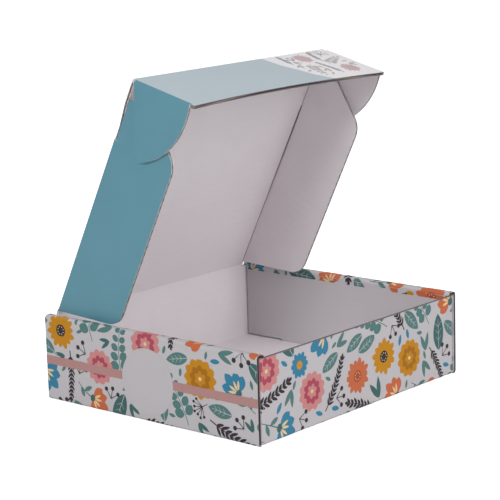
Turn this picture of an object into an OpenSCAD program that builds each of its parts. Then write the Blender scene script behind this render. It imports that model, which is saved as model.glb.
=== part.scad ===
// Corrugated mailer box with rolled side walls and a tuck-in lid, shown with the lid standing open.
// Origin: centre of the tray's underside. X runs left to right along the front wall, Y to the back, Z up.
// The box is die cut and folded from one sheet of board. The tray is the part that stays locked
// together; the lid, its tuck flap, the two ears and the two side flaps turn on creases.

/* [Box] */

// outside width, from left wall to right wall
box_w = 230; // [190:1:320]
// outside depth, from front wall to rear wall
box_d = 204; // [180:1:300]
// outside height with the lid shut
box_h = 63.5; // [56:0.5:90]
// thickness of the corrugated board
board_t = 2.5; // [2:0.1:3]

/* [Tray] */

// space between the layers of a rolled side wall, and the inside radius of each fold
layer_gap = 0.15; // [0.1:0.05:0.3]
// how far the front and rear walls stop below the rolled walls' underside
rim_drop = 0.4; // [0.3:0.1:2]
// length of each corner tab that is trapped in a side wall
tab_len = 52; // [25:1:70]
// height that a corner tab loses at its free end, above and below
tab_taper = 9; // [2:1:16]
// number of locking tabs under each inner side panel
lock_count = 2; // [1:1:3]
// length of one locking tab along the wall
lock_len = 26; // [12:1:36]
// room around a locking tab in its slot
lock_gap = 0.4; // [0.2:0.1:1]
// gap between an inner side panel and the floor or an end wall
panel_gap = 0.9; // [0.3:0.05:1]

/* [Lid] */

// how far the lid stands open from closed, in degrees
lid_open = 63.6; // [30:0.2:116]
// clearance between each side of the folded lid and the tray
side_clear = 0.3; // [0.3:0.05:1]
// clearance between the lid's front crease and the inside of the front wall
front_clear = 0.7; // [0.6:0.1:3]
// hinge line to the start of each side crease
side_start = 3.6; // [3.4:0.1:8]
// length of each side crease
side_len = 147; // [90:1:160]
// inset of the lid's edge in front of each side crease
edge_inset = 2.3; // [0.5:0.1:3]
// length of that inset edge before it widens again
edge_len = 10; // [4:1:16]

/* [Side flaps] */

// depth of a side flap below the lid's upper face
flap_depth = 58; // [35:0.5:58]
// run of the sloping rear end of a side flap
flap_rear_run = 24; // [22:1:40]
// hinge line to the front lower corner of a side flap
flap_front = 163; // [120:1:165]
// how far its nose reaches in front of that corner
flap_nose_run = 25; // [14:1:26]
// depth of the nose below the lid's upper face
flap_nose_depth = 20.5; // [16:0.5:24]
// radius of the rear lower corner
flap_rear_r = 15; // [4:1:18]
// radius of the front lower corner
flap_front_r = 16; // [3:1:20]
// radius of the nose
flap_nose_r = 4; // [1:0.5:6]
// width of the relief slit between the lid and a flap's front part
slit_w = 0.5; // [0.4:0.1:4]

/* [Tuck flap] */

// angle between the lid and the tuck flap as it stands
tuck_angle = 102; // [92:0.5:103]
// depth of the tuck flap at its ends
tuck_depth = 59; // [40:0.5:59]
// how far its free edge is cut back in the middle
tuck_bow = 5; // [0:0.5:8]

/* [Ears] */

// radius of an ear's curved edge
ear_r = 58; // [35:0.5:58]
// height of that curve's centre above the tuck flap's crease
ear_rise = 2.5; // [0:0.5:6]
// distance of an ear's upper edge below the tuck flap's crease, at the ear's own crease
ear_top = 3; // [2.6:0.1:6]
// fall of that upper edge towards the tip, in degrees
ear_slope = 11.5; // [11:0.5:20]
// radius of an ear's tip
ear_tip_r = 6; // [2:0.5:9]

/* [Hidden] */

$fn = 48;
eps = 0.02;
// the print turns from teal to white before the right-hand flaps
print_white = [0.88, 0.87, 0.85];
teal = [0.34, 0.53, 0.57];
pale_teal = [0.62, 0.74, 0.77];

half_w = box_w / 2;
half_d = box_d / 2;
bead_r = board_t / 2;
fold_r = board_t + layer_gap;
// a rolled wall holds three layers: outer panel, corner tab, inner panel
roll_w = 3 * board_t + 2 * layer_gap;
inner_x = half_w - roll_w;
wall_top = box_h - board_t - rim_drop;
tab_x = half_w - board_t - layer_gap;
tab_low = board_t + 3 * layer_gap;

// the lid's hinge line, and the widths that must fit between the rolled walls
hinge_y = half_d - bead_r;
hinge_z = box_h - bead_r;
ear_out = inner_x - side_clear;
ear_x = ear_out - bead_r;
lid_half = ear_out - board_t - side_clear;
flap_x = lid_half - board_t;
hinge_half = lid_half - 1;
tuck_u = hinge_y + half_d - board_t - front_clear - bead_r;

// radius of the hollow cut in a panel around its crease
hinge_cut = 0.8 * board_t;
tuck_cut = 0.9 * board_t;
crease_gap = 0.3;

side_end = side_start + side_len;
ear_end = min(ear_r - ear_rise, tuck_depth - 3.5);
tuck_bow_r = (ear_x * ear_x + tuck_bow * tuck_bow) / (2 * max(tuck_bow, 0.01));
lock_pitch = (box_d - 2 * tab_len) / max(lock_count - 1, 1);

// points of an arc that rounds corner b between a and c
function unit(v) = v / norm(v);
function corner_arc(a, b, c, r, n = 10) =
    r <= 0 ? [b] :
    let (
        p = unit(a - b),
        q = unit(c - b),
        half = acos(p * q) / 2,
        m = b + unit(p + q) * r / sin(half),
        s = b + p * r / tan(half) - m,
        e = b + q * r / tan(half) - m,
        s_ang = atan2(s[1], s[0]),
        turn = atan2(s[0] * e[1] - s[1] * e[0], s * e)
    )
    [for (i = [0 : n]) m + r * [cos(s_ang + turn * i / n), sin(s_ang + turn * i / n)]];

// an outline whose corners are given as [point, radius]
function rounded(p) = [
    for (i = [0 : len(p) - 1])
        each corner_arc(
            p[(i + len(p) - 1) % len(p)][0], p[i][0], p[(i + 1) % len(p)][0], p[i][1]
        )
];

// a board from an outline drawn in XY, centred on its middle plane
module board(points) {
    translate([0, 0, -board_t / 2])
        linear_extrude(board_t)
            polygon(points);
}

// a fold in section: a quarter of a ring in the quadrant that sx and sy point to
module fold(sx, sy) {
    intersection() {
        difference() {
            circle(fold_r);
            circle(layer_gap);
        }
        mirror([sx < 0 ? 1 : 0, 0])
            mirror([0, sy < 0 ? 1 : 0])
                square(fold_r);
    }
}

// the rolled side wall in section, X across and Y up
module roll_section() {
    translate([tab_x, fold_r])
        fold(1, -1);
    translate([half_w - board_t, fold_r - eps])
        square([board_t, box_h - 2 * fold_r + 2 * eps]);
    translate([tab_x, box_h - fold_r])
        fold(1, 1);
    translate([inner_x + fold_r - eps, box_h - board_t])
        square([roll_w - 2 * fold_r + 2 * eps, board_t]);
    translate([inner_x + fold_r, box_h - fold_r])
        fold(-1, 1);
}

// the front wall and the rear wall in section, X from the middle to the outside and Y up
module end_section() {
    translate([half_d - fold_r, fold_r])
        fold(1, -1);
    translate([half_d - board_t, fold_r - eps])
        square([board_t, wall_top - fold_r + eps]);
}

// lays a drawing so that its X stays X and its Y points up, with the given length along Y
module stand_along_y(len) {
    translate([0, len / 2, 0])
        rotate([90, 0, 0])
            linear_extrude(len)
                children();
}

// lays a drawing so that its X points along Y and its Y points up, with the given length along X
module stand_along_x(len) {
    translate([-len / 2, 0, 0])
        rotate([90, 0, 90])
            linear_extrude(len)
                children();
}

// the inner panel of the right side wall, with the tabs that lock it into the floor
module inner_panel() {
    translate([inner_x, -half_d + board_t + panel_gap, board_t + panel_gap])
        cube([board_t, box_d - 2 * (board_t + panel_gap), box_h - fold_r - board_t - panel_gap + eps]);
    for (i = [0 : lock_count - 1])
        translate([inner_x, lock_y(i) - lock_len / 2, layer_gap])
            cube([board_t, lock_len, board_t + panel_gap + eps]);
}

function lock_y(i) = lock_count == 1 ? 0 : (i - (lock_count - 1) / 2) * lock_pitch;

module lock_slots() {
    for (i = [0 : lock_count - 1])
        translate([inner_x - lock_gap, lock_y(i) - lock_len / 2 - lock_gap, -1])
            cube([board_t + lock_gap + layer_gap / 2, lock_len + 2 * lock_gap, board_t + 1 + layer_gap]);
}

// one corner tab with the fold that joins it to its end wall, for the right front corner
module corner_tab() {
    translate([tab_x - fold_r, -half_d + fold_r, tab_low])
        linear_extrude(wall_top - tab_low)
            fold(1, -1);
    translate([tab_x - bead_r, 0, 0])
        rotate([90, 0, 90])
            board([
                [-half_d + fold_r - eps, tab_low],
                [-half_d + tab_len * 0.55, tab_low],
                [-half_d + tab_len, tab_low + tab_taper],
                [-half_d + tab_len, wall_top - tab_taper],
                [-half_d + tab_len * 0.55, wall_top],
                [-half_d + fold_r - eps, wall_top],
            ]);
}

// what both ends of the tray share: the fold at the floor, the wall and its two corner tabs
module front_end() {
    stand_along_x(2 * tab_x)
        mirror([1, 0])
            intersection() {
                end_section();
                square([box_d, fold_r + eps]);
            }
    stand_along_x(2 * (tab_x - fold_r) + 2 * eps)
        mirror([1, 0])
            end_section();
    for (side = [0, 1])
        mirror([side, 0, 0])
            corner_tab();
}

module tray() {
    color(print_white) {
        difference() {
            translate([-tab_x - eps, -half_d + fold_r - eps, 0])
                cube([2 * (tab_x + eps), box_d - 2 * (fold_r - eps), board_t]);
            for (side = [0, 1])
                mirror([side, 0, 0])
                    lock_slots();
        }
        for (side = [0, 1])
            mirror([side, 0, 0]) {
                stand_along_y(box_d)
                    roll_section();
                inner_panel();
            }
        front_end();
        mirror([0, 1, 0])
            front_end();
        // the rear wall runs on up to the lid's crease, which is rounded
        translate([-hinge_half, half_d - board_t, wall_top - eps])
            cube([2 * hinge_half, board_t, hinge_z - wall_top + eps]);
        translate([-hinge_half, hinge_y, hinge_z])
            rotate([0, 90, 0])
                cylinder(r = bead_r, h = 2 * hinge_half);
    }
}

// places children of the lid: drawn as if the lid were shut, hinge line on the X axis, front at -Y
module on_lid() {
    translate([0, hinge_y, hinge_z])
        rotate([-lid_open, 0, 0])
            children();
}

// places children of the tuck flap: drawn square to the lid, hanging down from the X axis
module on_tuck() {
    on_lid()
        translate([0, -tuck_u, 0])
            rotate([90 - tuck_angle, 0, 0])
                children();
}

// half of the lid's outline, from the hinge line round to the front crease
function lid_side(s) = [
    [s * hinge_half, 0],
    [s * hinge_half, -side_start],
    [s * flap_x, -side_start],
    [s * flap_x, -side_end],
    [s * (lid_half - edge_inset), -side_end],
    [s * (lid_half - edge_inset), -side_end - edge_len],
    [s * lid_half, -(side_end + edge_len + tuck_u) / 2],
    [s * lid_half, -tuck_u],
];

module lid() {
    left = lid_side(-1);
    color(teal)
        on_lid() {
            difference() {
                board(concat(lid_side(1), [for (i = [len(left) - 1 : -1 : 0]) left[i]]));
                translate([-half_w, 0, 0])
                    rotate([0, 90, 0])
                        cylinder(r = hinge_cut, h = box_w);
            }
            // the outer face rounds over at each side crease
            for (side = [0, 1])
                mirror([side, 0, 0])
                    translate([flap_x - eps, -side_start, -bead_r])
                        rotate([90, 0, 0])
                            linear_extrude(side_len)
                                intersection() {
                                    circle(board_t);
                                    square(board_t);
                                }
            translate([-lid_half, -tuck_u, 0])
                rotate([0, 90, 0])
                    cylinder(r = bead_r, h = 2 * lid_half);
        }
}

module tuck_flap() {
    color(pale_teal)
        on_tuck() {
            difference() {
                rotate([90, 0, 0])
                    board([
                        [-ear_x, -ear_top], [-ear_x, -tuck_depth],
                        [ear_x, -tuck_depth], [ear_x, -ear_top],
                        [lid_half, -ear_top], [lid_half, 0],
                        [-lid_half, 0], [-lid_half, -ear_top],
                    ]);
                translate([-half_w, 0, 0])
                    rotate([0, 90, 0])
                        cylinder(r = tuck_cut, h = box_w);
                // the free edge bows towards the crease
                if (tuck_bow > 0)
                    translate([0, board_t, -tuck_depth + tuck_bow - tuck_bow_r])
                        rotate([90, 0, 0])
                            cylinder(r = tuck_bow_r, h = 2 * board_t, $fn = 720);
            }
            for (s = [-1, 1])
                translate([s * ear_x, 0, -ear_end])
                    cylinder(r = bead_r, h = ear_end - ear_top);
        }
}

// an ear's outline: X back from its crease, Y down from the tuck flap's crease
function ear_outline() =
    let (
        c = [0, -ear_rise],
        top = [0, ear_top],
        dir = [cos(ear_slope), sin(ear_slope)],
        reach = -((top - c) * dir) + sqrt(pow((top - c) * dir, 2) + ear_r * ear_r - pow(norm(top - c), 2)),
        tip = top + dir * reach,
        a = atan2(tip[1] - c[1], tip[0]) + 9,
        b = asin(min(0.9995, (ear_end + ear_rise) / ear_r)),
        curve = [for (i = [0 : 16]) c + ear_r * [cos(a + (b - a) * i / 16), sin(a + (b - a) * i / 16)]]
    )
    concat([top], corner_arc(top, tip, curve[0], ear_tip_r, 8), curve, [[0, curve[16][1]]]);

module ear(s) {
    color(s < 0 ? teal : print_white)
        on_tuck()
            difference() {
                translate([s * ear_x, 0, 0])
                    rotate([90, 0, 90])
                        board([for (p = ear_outline()) [p[0], -p[1]]]);
                translate([s * ear_x, 0, -2 * tuck_depth])
                    cylinder(r = hinge_cut, h = 3 * tuck_depth);
            }
}

module left_ear() {
    ear(-1);
}

module right_ear() {
    ear(1);
}

// a side flap's outline: X forward from the hinge line, Y down from the lid's upper face
function side_flap_outline() = rounded([
    [[side_start, board_t + crease_gap], 0],
    [[side_start + 1.2, board_t + crease_gap + 2.4], 0],
    [[side_start + flap_rear_run, flap_depth], flap_rear_r],
    [[flap_front, flap_depth], flap_front_r],
    [[flap_front + flap_nose_run, flap_nose_depth], flap_nose_r],
    [[flap_front + flap_nose_run - 3, board_t + slit_w], flap_nose_r],
    [[side_end + 6, board_t + slit_w], 0],
    [[side_end, board_t + crease_gap], 0],
]);

module side_flap(s) {
    color(s < 0 ? teal : print_white)
        on_lid()
            translate([s * (lid_half - bead_r), 0, bead_r])
                rotate([90, 0, 90])
                    board([for (p = side_flap_outline()) [-p[0], -p[1]]]);
}

module left_side_flap() {
    side_flap(-1);
}

module right_side_flap() {
    side_flap(1);
}

tray();
lid();
tuck_flap();
left_ear();
right_ear();
left_side_flap();
right_side_flap();
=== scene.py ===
import bmesh
import bpy
import numpy as np
from mathutils import Matrix


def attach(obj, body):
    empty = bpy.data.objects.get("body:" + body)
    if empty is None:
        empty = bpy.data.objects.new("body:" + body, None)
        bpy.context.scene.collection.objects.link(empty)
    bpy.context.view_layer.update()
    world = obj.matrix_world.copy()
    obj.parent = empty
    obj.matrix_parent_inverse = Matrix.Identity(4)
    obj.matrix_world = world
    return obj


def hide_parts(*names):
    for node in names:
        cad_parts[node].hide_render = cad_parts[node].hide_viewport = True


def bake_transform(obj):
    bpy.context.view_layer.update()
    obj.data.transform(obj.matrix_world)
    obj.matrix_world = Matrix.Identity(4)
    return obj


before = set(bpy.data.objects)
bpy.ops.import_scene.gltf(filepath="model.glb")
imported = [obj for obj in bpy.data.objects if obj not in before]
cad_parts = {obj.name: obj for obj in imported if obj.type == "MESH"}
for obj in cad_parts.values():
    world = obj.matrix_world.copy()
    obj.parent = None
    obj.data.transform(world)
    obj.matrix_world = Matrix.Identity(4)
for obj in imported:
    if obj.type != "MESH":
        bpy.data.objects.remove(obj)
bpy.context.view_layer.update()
scene = bpy.context.scene
mm = 0.001

# The box's own measures, in millimetres, as the CAD source has them
box = dict(
    width=230.0, depth=204.0, height=63.5, board=2.5, gap=0.15, rimDrop=0.4,
    tabLength=52.0, tabTaper=9.0, lockCount=2, lockLength=26.0, lockGap=0.4, panelGap=0.9,
    lidOpen=63.6, sideClear=0.3, frontClear=0.7, sideStart=3.6, sideLength=147.0,
    edgeInset=2.3, edgeLength=10.0, flapDepth=58.0, flapRearRun=24.0, flapFront=163.0,
    noseRun=25.0, noseDepth=20.5, flapRearRadius=15.0, flapFrontRadius=16.0, noseRadius=4.0,
    slitWidth=0.5, tuckAngle=102.0, tuckDepth=59.0, tuckBow=5.0,
    earRadius=58.0, earRise=2.5, earTop=3.0, earSlope=11.5, earTipRadius=6.0,
)

# Worked out from them: bead is half the board, foldR and midR the outer and middle radius of a fold, quarter
# its outer length
halfW, halfD = box["width"] / 2, box["depth"] / 2
bead = box["board"] / 2
foldR = box["board"] + box["gap"]
midR = box["gap"] + bead
quarter = np.pi / 2 * foldR
innerX = halfW - 3 * box["board"] - 2 * box["gap"]
wallTop = box["height"] - box["board"] - box["rimDrop"]
tabX, tabLow = halfW - foldR, box["board"] + 3 * box["gap"]
hingeY, hingeZ = halfD - bead, box["height"] - bead
earX = innerX - box["sideClear"] - bead
lidHalf = earX + bead - box["board"] - box["sideClear"]
flapX = lidHalf - box["board"]
hingeHalf = lidHalf - 1
tuckU = hingeY + halfD - box["board"] - box["frontClear"] - bead
sideEnd = box["sideStart"] + box["sideLength"]
earEnd = min(box["earRadius"] - box["earRise"], box["tuckDepth"] - 3.5)
bowR = (earX**2 + box["tuckBow"] ** 2) / (2 * box["tuckBow"])
lockPitch = box["depth"] - 2 * box["tabLength"]
lidTilt = np.radians(box["lidOpen"])
tuckTilt = np.radians(90 - box["tuckAngle"])


# Finishes

def nodeMaterial(name):
    # a new material, its node tree and its shader
    material = bpy.data.materials.new(name)
    material.use_nodes = True
    return material, material.node_tree, material.node_tree.nodes["Principled BSDF"]


def mathNode(tree, operation, *values):
    # one sum on sockets and plain numbers
    node = tree.nodes.new("ShaderNodeMath")
    node.operation = operation
    for socket, value in zip(node.inputs, values):
        if isinstance(value, bpy.types.NodeSocket):
            tree.links.new(value, socket)
        else:
            socket.default_value = value
    return node.outputs[0]


def noiseNode(tree, scale, detail, roughness=0.5):
    # noise in the piece's own coordinates
    node = tree.nodes.new("ShaderNodeTexNoise")
    place = tree.nodes.new("ShaderNodeTexCoord")
    node.inputs["Scale"].default_value = scale
    node.inputs["Detail"].default_value = detail
    node.inputs["Roughness"].default_value = roughness
    tree.links.new(place.outputs["Object"], node.inputs["Vector"])
    return node.outputs["Fac"]


def rangeNode(tree, value, low, high, newLow, newHigh):
    # low to high becomes newLow to newHigh
    node = tree.nodes.new("ShaderNodeMapRange")
    tree.links.new(value, node.inputs["Value"])
    for name, number in zip(("From Min", "From Max", "To Min", "To Max"), (low, high, newLow, newHigh)):
        node.inputs[name].default_value = number
    return node.outputs["Result"]


def bumpNode(tree, height, distance, strength, shader):
    node = tree.nodes.new("ShaderNodeBump")
    node.inputs["Distance"].default_value = distance
    node.inputs["Strength"].default_value = strength
    tree.links.new(height, node.inputs["Height"])
    tree.links.new(node.outputs["Normal"], shader.inputs["Normal"])


# The liners' mottle, fibres and faint washboard over the flutes; the widths and reliefs are in millimetres
linerLook = dict(mottleScale=28.0, fibreScale=900.0, fluteWidth=6.5, boardRelief=0.02, fibreRelief=0.01,
                 roughSpread=0.05, coatRoughness=0.3)


def linerMaterial(name, colour, roughness, mottle, coat=0.0, grain=1.0, specular=0.5):
    # colour x (1 + mottle x noise); height = washboard sine across the flutes + fine fibre noise
    material, tree, shader = nodeMaterial(name)
    fine = noiseNode(tree, linerLook["fibreScale"], 5, 0.65)
    both = mathNode(tree, "ADD", noiseNode(tree, linerLook["mottleScale"], 4), fine)
    tint = tree.nodes.new("ShaderNodeVectorMath")
    tint.operation = "SCALE"
    tint.inputs[0].default_value = colour
    tree.links.new(rangeNode(tree, both, 0.7, 1.3, 1 - mottle, 1 + mottle), tint.inputs["Scale"])
    tree.links.new(tint.outputs["Vector"], shader.inputs["Base Color"])
    # the sheet map counts in decimetres: x along the flutes, y across them
    sheet = tree.nodes.new("ShaderNodeUVMap")
    sheet.uv_map = "sheet"
    split = tree.nodes.new("ShaderNodeSeparateXYZ")
    tree.links.new(sheet.outputs["UV"], split.inputs[0])
    phase = mathNode(tree, "MULTIPLY", split.outputs["Y"], 2 * np.pi * 100 / linerLook["fluteWidth"])
    ridge = mathNode(tree, "MULTIPLY", mathNode(tree, "SINE", phase), linerLook["boardRelief"])
    height = mathNode(tree, "MULTIPLY_ADD", fine, linerLook["fibreRelief"] * grain, ridge)
    bumpNode(tree, height, mm, 1.0, shader)
    spread = linerLook["roughSpread"]
    rough = rangeNode(tree, fine, 0.3, 0.7, roughness - spread, roughness + spread)
    tree.links.new(rough, shader.inputs["Roughness"])
    shader.inputs["Specular IOR Level"].default_value = specular
    shader.inputs["Coat Weight"].default_value = coat
    shader.inputs["Coat Roughness"].default_value = linerLook["coatRoughness"]
    return material


# Raw paper at a cut edge: short fibres between these shares of its colour
kraftLook = dict(fibreScale=1400.0, dark=0.72, light=1.15, relief=0.05, roughness=0.9)


def kraftMaterial(name, colour):
    material, tree, shader = nodeMaterial(name)
    fibre = noiseNode(tree, kraftLook["fibreScale"], 6)
    ramp = tree.nodes.new("ShaderNodeValToRGB")
    for stop, at, share in zip(ramp.color_ramp.elements, (0.35, 0.65), ("dark", "light")):
        stop.position = at
        stop.color = (*[min(1, c * kraftLook[share]) for c in colour], 1)
    tree.links.new(fibre, ramp.inputs["Fac"])
    tree.links.new(ramp.outputs["Color"], shader.inputs["Base Color"])
    bumpNode(tree, fibre, kraftLook["relief"] * mm, 0.6, shader)
    shader.inputs["Roughness"].default_value = kraftLook["roughness"]
    return material


def srgb(r, g, b):
    # display values 0 to 255 turned into the linear values that Blender mixes
    c = np.array([r, g, b]) / 255
    return tuple(float(x) for x in np.where(c <= 0.04045, c / 12.92, ((c + 0.055) / 1.055) ** 2.4))


whitePrint = linerMaterial("whitePrint", srgb(192, 188, 191), 0.5, 0.02)
tealPrint = linerMaterial("tealPrint", srgb(92, 146, 163), 0.42, 0.03, coat=0.15)
# the tuck flap's teal is paler: partly the print's own lighter tint, partly painted sheen for the light from
# above on its upturned face
paleTealPrintAndSheen = linerMaterial("paleTealPrintAndSheen", srgb(196, 211, 218), 0.38, 0.02, coat=0.3)
plainLiner = linerMaterial("plainLiner", srgb(229, 223, 226), 0.72, 0.03, grain=1.6)
# painted crease shade: a darker tone of the inner liner that stands for the shade inside the side creases and
# along the slit
paintedCreaseShade = linerMaterial("paintedCreaseShade", srgb(190, 180, 184), 0.8, 0.04, grain=1.6)
cutLiner = kraftMaterial("cutLiner", srgb(222, 216, 218))
fluting = kraftMaterial("fluting", srgb(160, 148, 142))
# darker copies of the cut paper and fluting for the tray's own edges and the tuck flap's edge: painted shade
# for the shade these edges and the gaps beside them lie in
paintedShadeCut = kraftMaterial("paintedShadeCut", srgb(130, 122, 124))
paintedShadeFluting = kraftMaterial("paintedShadeFluting", srgb(70, 60, 58))
inks = dict(
    mustard=srgb(193, 132, 16), deepMustard=srgb(166, 106, 8), coral=srgb(196, 104, 66),
    deepCoral=srgb(170, 78, 48), rose=srgb(200, 134, 132), deepRose=srgb(172, 72, 92),
    leaf=srgb(82, 122, 120), deepLeaf=srgb(60, 102, 100), blue=srgb(52, 126, 158),
    charcoal=srgb(52, 46, 52), cream=srgb(226, 198, 150), white=srgb(192, 188, 191),
    ribbon=srgb(178, 135, 131), faintRose=srgb(212, 182, 188), faintGrey=srgb(190, 188, 186),
    # field is the white of the field on the lid, tuck flap and right flaps, painted far lighter than the
    # white print: painted light from above
    faintSlate=srgb(160, 160, 164), field=srgb(244, 242, 244),
)
inkNames = list(inks)
inkMaterials = [linerMaterial("ink" + n[0].upper() + n[1:], c, 0.55, 0.02, specular=0.25)
                for n, c in inks.items()]
print("finishes made:", len(bpy.data.materials))


# Mesh making

def layer(a, b, height, place, flute, material):
    # one surface: rows at a, points at b, lifted to height, with the sheet map beside it
    h = height(a, b) if callable(height) else np.full(a.shape, float(height))
    along, across = flute(a, b)
    return place(a, b, h), np.stack([along, across], -1) / 100, material


def sheetSolid(a, b, c0, c1, place, flute, faces):
    # a closed skin over a grid of sheet points: the grid at height c1, again at c0, and four side walls
    top, under = layer(a, b, c1, place, flute, faces[0]), layer(a, b, c0, place, flute, faces[1])
    sides = []
    for pick, axis in ((np.s_[0:1, :], 0), (np.s_[-1:, :], 0), (np.s_[:, 0:1], 1), (np.s_[:, -1:], 1)):
        sides.append((np.concatenate([top[0][pick], under[0][pick]], axis),
                      np.concatenate([top[1][pick], under[1][pick]], axis), faces[2]))
    return [top, under, *sides]


def slab(a, low, high, steps, place, c0, c1, flute, faces):
    # a closed layer of board: rows run from low to high, between the heights c0 and c1
    share = np.linspace(0, 1, steps)
    rows = np.repeat(np.asarray(a, float)[:, None], steps, 1)
    cols = np.asarray(low, float)[:, None] + (np.asarray(high, float) - low)[:, None] * share
    return sheetSolid(rows, cols, c0, c1, place, flute, faces)


def meshArrays(solids):
    # points within one solid that coincide become one, and quads that lose a side become triangles
    points, keys, quads, maps, mats = [], [], [], [], []
    start = 0
    for number, solid in enumerate(solids):
        for grid, uv, mat in solid:
            n, m = grid.shape[:2]
            index = start + np.arange(n * m).reshape(n, m)
            corners = (index[:-1, :-1], index[1:, :-1], index[1:, 1:], index[:-1, 1:])
            quad = np.stack(corners, -1).reshape(-1, 4)
            points.append(grid.reshape(-1, 3))
            keys.append(np.full(n * m, number))
            quads.append(quad)
            maps.append(uv.reshape(-1, 2))
            mats.append(np.full(len(quad), mat))
            start += n * m
    points, quads, maps = np.concatenate(points), np.concatenate(quads), np.concatenate(maps)
    # cells of a ten-thousandth of a millimetre, shifted so that round measures don't fall on their borders
    key = np.column_stack([np.concatenate(keys), np.floor(points * 1e4 + 0.37)]).astype(np.int64)
    _, first, back = np.unique(key, axis=0, return_index=True, return_inverse=True)
    welded = back.ravel()[quads]
    same = welded == np.roll(welded, -1, 1)
    whole = ~same.any(1)
    one = same.sum(1) == 1
    drop = np.argmax(same[one], 1)
    order = (drop[:, None] + np.array([1, 2, 3])) % 4
    pick = np.take_along_axis(quads[one], order, 1)
    mats = np.concatenate(mats)
    return (points[first] * mm, back.ravel(), quads[whole], pick, maps, mats[whole], mats[one])


def makePiece(name, solids, materials, body, sharp=0.6):
    # one mesh from closed solids, with its sheet map; edges that turn more than sharp radians stay crisp
    points, back, quads, tris, maps, quadMats, triMats = meshArrays(solids)
    mesh = bpy.data.meshes.new(name)
    mesh.from_pydata(points.tolist(), [], back[quads].tolist() + back[tris].tolist())
    for material in materials:
        mesh.materials.append(material)
    mesh.polygons.foreach_set("material_index", np.concatenate([quadMats, triMats]).astype(np.int32))
    sheet = mesh.uv_layers.new(name="sheet")
    sheet.data.foreach_set("uv", np.concatenate([maps[quads].ravel(), maps[tris].ravel()]).astype(np.float32))
    work = bmesh.new()
    work.from_mesh(mesh)
    bmesh.ops.recalc_face_normals(work, faces=work.faces)
    work.to_mesh(mesh)
    work.free()
    mesh.shade_smooth()
    mesh.set_sharp_from_angle(angle=sharp)
    piece = bpy.data.objects.new(name, mesh)
    scene.collection.objects.link(piece)
    if body:
        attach(piece, body)
    return piece


def cornerArc(a, b, c, radius, steps=10):
    # the arc of this radius that touches both sides of corner b
    a, b, c = (np.asarray(v, float) for v in (a, b, c))
    if radius <= 0:
        return [b]
    p, q = (a - b) / np.linalg.norm(a - b), (c - b) / np.linalg.norm(c - b)
    half = np.arccos(p @ q) / 2
    middle = b + (p + q) / np.linalg.norm(p + q) * radius / np.sin(half)
    s, e = b + p * radius / np.tan(half) - middle, b + q * radius / np.tan(half) - middle
    turn = np.arctan2(s[0] * e[1] - s[1] * e[0], s @ e)
    angle = np.arctan2(s[1], s[0]) + turn * np.linspace(0, 1, steps + 1)
    return list(middle + radius * np.stack([np.cos(angle), np.sin(angle)], 1))


def rounded(corners):
    # a closed outline from corners, each with its own radius
    pts = [np.array(p, float) for p, _ in corners]
    out = []
    for i, (p, r) in enumerate(corners):
        out += cornerArc(pts[i - 1], pts[i], pts[(i + 1) % len(pts)], r)
    return np.array(out)


def spans(outline):
    # an outline read in rows: the places of the rows, and where each row starts and ends
    pts = np.asarray(outline, float)
    first, last = pts[:, 0].min(), pts[:, 0].max()
    turn = np.roll(pts, -int(np.argmin(pts[:, 0])), 0)
    cut = int(np.argmax(turn[:, 0]))
    chains = []
    for chain in (turn[: cut + 1], np.concatenate([turn[:1], turn[:cut - 1:-1]])):
        lead = np.flatnonzero(chain[:, 0] <= first + 1e-9)
        tail = np.flatnonzero(chain[:, 0] >= last - 1e-9)
        chain = chain[lead[-1]: tail[0] + 1].copy()
        for k in range(1, len(chain)):
            if chain[k, 0] <= chain[k - 1, 0]:
                chain[k, 0] = chain[k - 1, 0] + 1e-3
        chains.append(chain)
    if np.isclose(turn[-1, 0], first) and not np.isclose(turn[1, 0], first):
        chains[1][0, 1] = turn[-1, 1]
    rows = np.unique(np.concatenate([chains[0][:, 0], chains[1][:, 0]]).clip(first, last))
    ends = [np.interp(rows, c[:, 0], c[:, 1]) for c in chains]
    return rows, np.minimum(*ends), np.maximum(*ends)


# Board build-up: two liners with a fluted sheet between. The rolled walls have flutes only near their ends,
# from rollInset to rollRun, and rollShift is where that wave stands
boardLook = dict(liner=0.45, flutePitch=6.5, flutePaper=0.2, fluteInset=0.25, rollInset=0.3, rollRun=12.0,
                 rollShift=2.1)


def alongX(a, b):
    # flutes that run along b
    return b, a


def acrossB(a, b):
    # flutes that run along a
    return a, b


def fluteWave(across):
    # the middle of the fluted sheet: a sine that just touches both liners
    swing = bead - boardLook["liner"] - boardLook["flutePaper"] / 2
    return swing * np.sin(2 * np.pi * across / boardLook["flutePitch"])


def boardSolids(rows, low, high, place, flute, innerLow=None, fineRows=None, steps=2):
    # outer liner, inner liner and fluting; materials are outer face, inner face, cut edge, fluting
    liner, paper, inset = boardLook["liner"], boardLook["flutePaper"], boardLook["fluteInset"]
    innerLow = low if innerLow is None else innerLow
    solids = [
        slab(rows, low, high, 2, place, bead - liner, bead, flute, (0, 2, 2)),
        slab(rows, innerLow, high, 2, place, -bead, -bead + liner, flute, (2, 1, 2)),
    ]
    fine = rows if fineRows is None else fineRows
    fineLow, fineHigh = np.interp(fine, rows, low) + inset, np.interp(fine, rows, high) - inset
    keep = fineHigh > fineLow + 0.1
    fine, fineLow, fineHigh = fine[keep], fineLow[keep], fineHigh[keep]
    fine = np.clip(fine, rows[0] + inset, rows[-1] - inset)

    def wave(a, b):
        return fluteWave(flute(a, b)[1])

    solids.append(slab(fine, fineLow, fineHigh, steps, place, lambda a, b: wave(a, b) - paper / 2,
                       lambda a, b: wave(a, b) + paper / 2, flute, (3, 3, 3)))
    return solids


def fluteRows(first, last, per=12):
    # rows close enough to draw the wave: this many to each flute
    return np.linspace(first, last, max(2, int(abs(last - first) / boardLook["flutePitch"] * per)))


# Where the folded panels stand. Each face function places points of a panel: two measures along it, then c,
# the height above the middle of the board

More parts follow.
